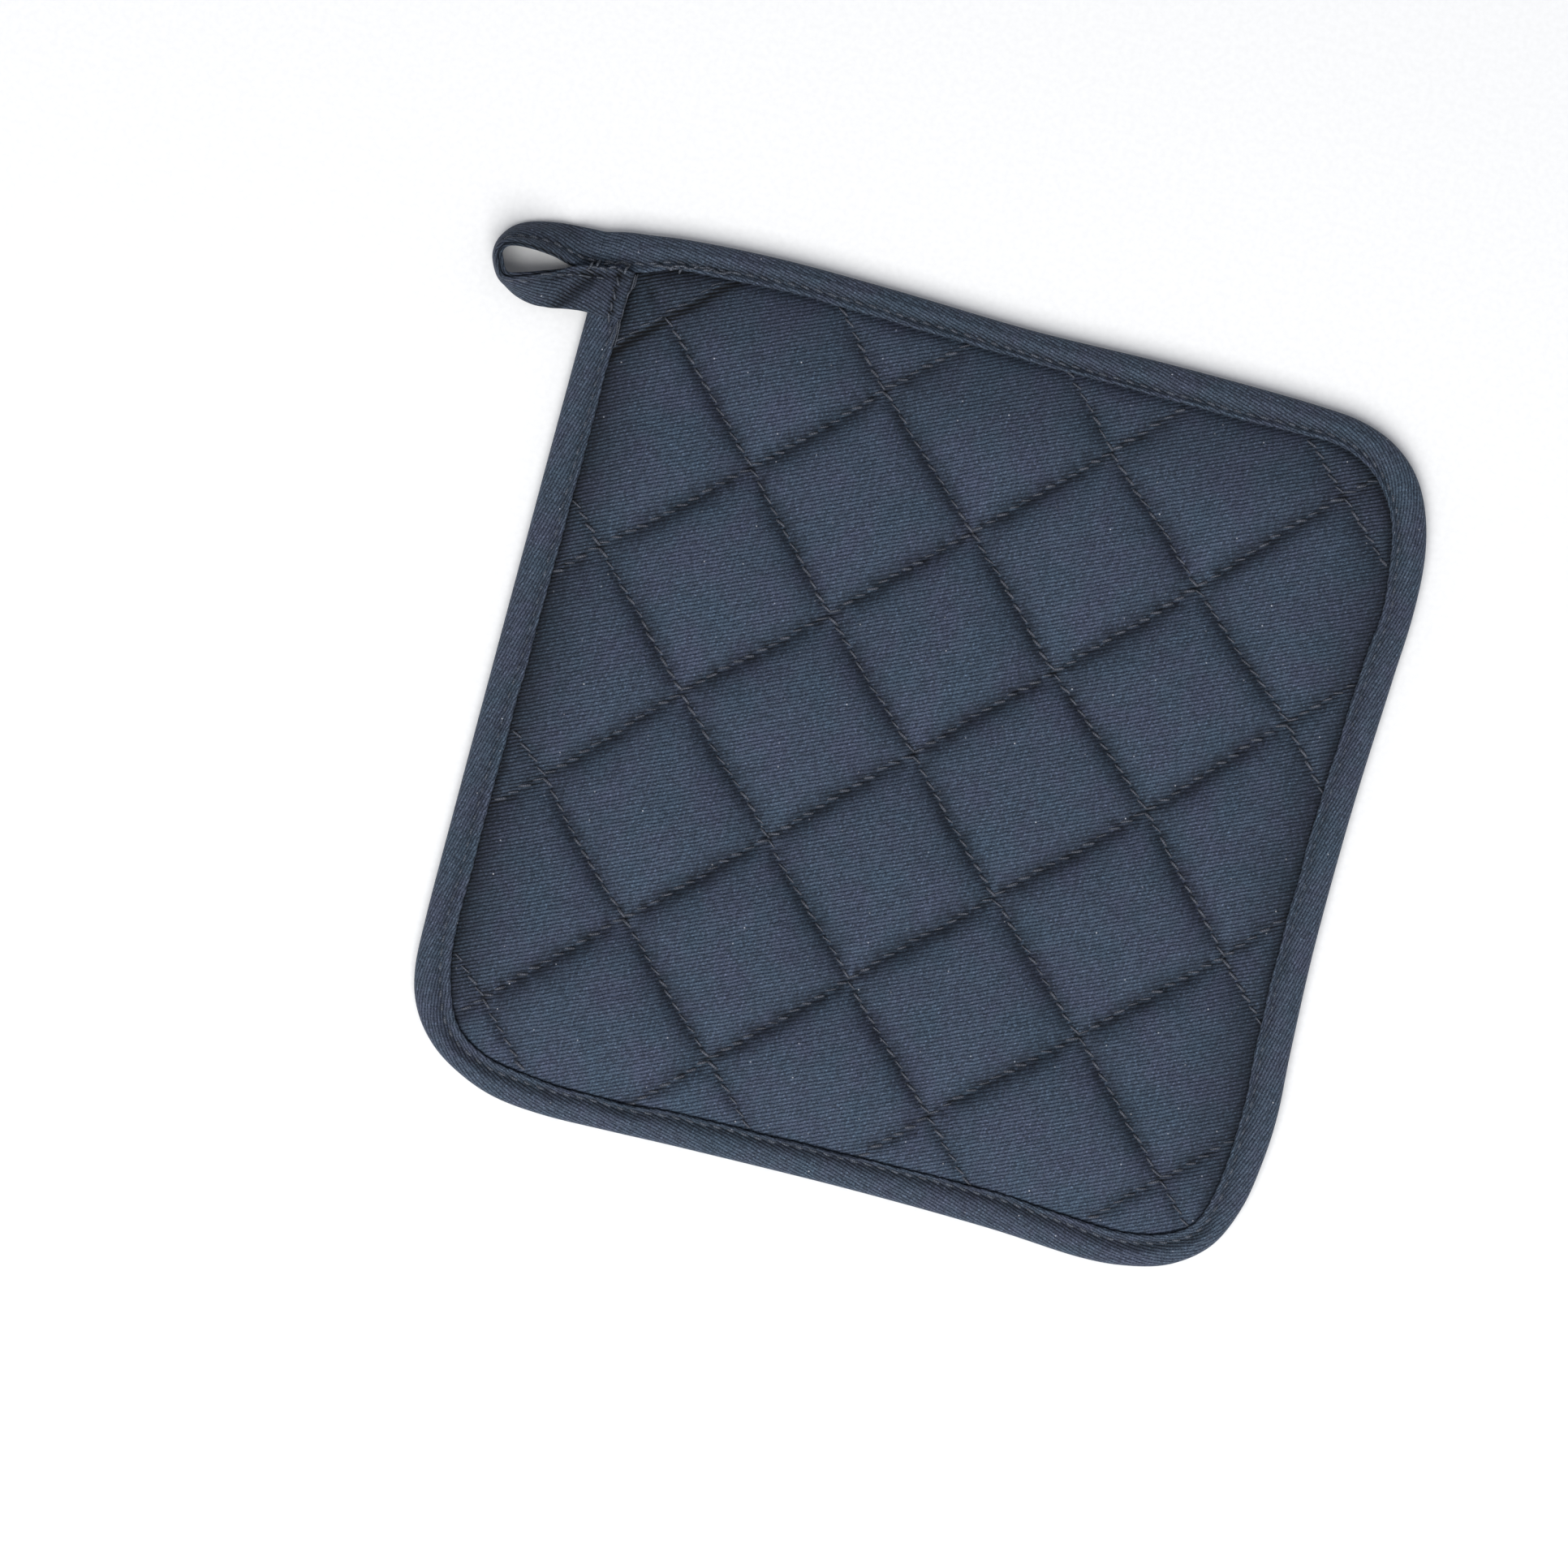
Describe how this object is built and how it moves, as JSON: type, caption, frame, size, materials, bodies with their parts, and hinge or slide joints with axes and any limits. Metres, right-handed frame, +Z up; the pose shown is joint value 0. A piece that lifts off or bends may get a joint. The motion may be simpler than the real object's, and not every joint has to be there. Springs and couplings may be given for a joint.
{
  "type": "pot holder",
  "caption": "Square quilted kitchen pot holder of navy cotton twill with a bound edge and a corner loop to hang it by.",
  "frame": {"origin": "middle of the underside, on the surface that the pot holder lies on", "axes": "+X along the top edge, from the loop's corner to the far corner; +Y towards that top edge; +Z up, out of the quilted face"},
  "size_m": [0.2301, 0.209, 0.0103],
  "materials": {
    "front_twill": "matt navy cotton twill, quilted",
    "back_twill": "matt navy cotton twill, plain",
    "binding_tape": "matt navy bias-cut twill tape",
    "loop_tape": "matt navy bias-cut twill tape"
  },
  "bodies": {
    "root": {"quilted_front": "front_twill", "back_panel": "back_twill", "binding": "binding_tape", "hanging_loop": "loop_tape"}
  },
  "joints": []
}
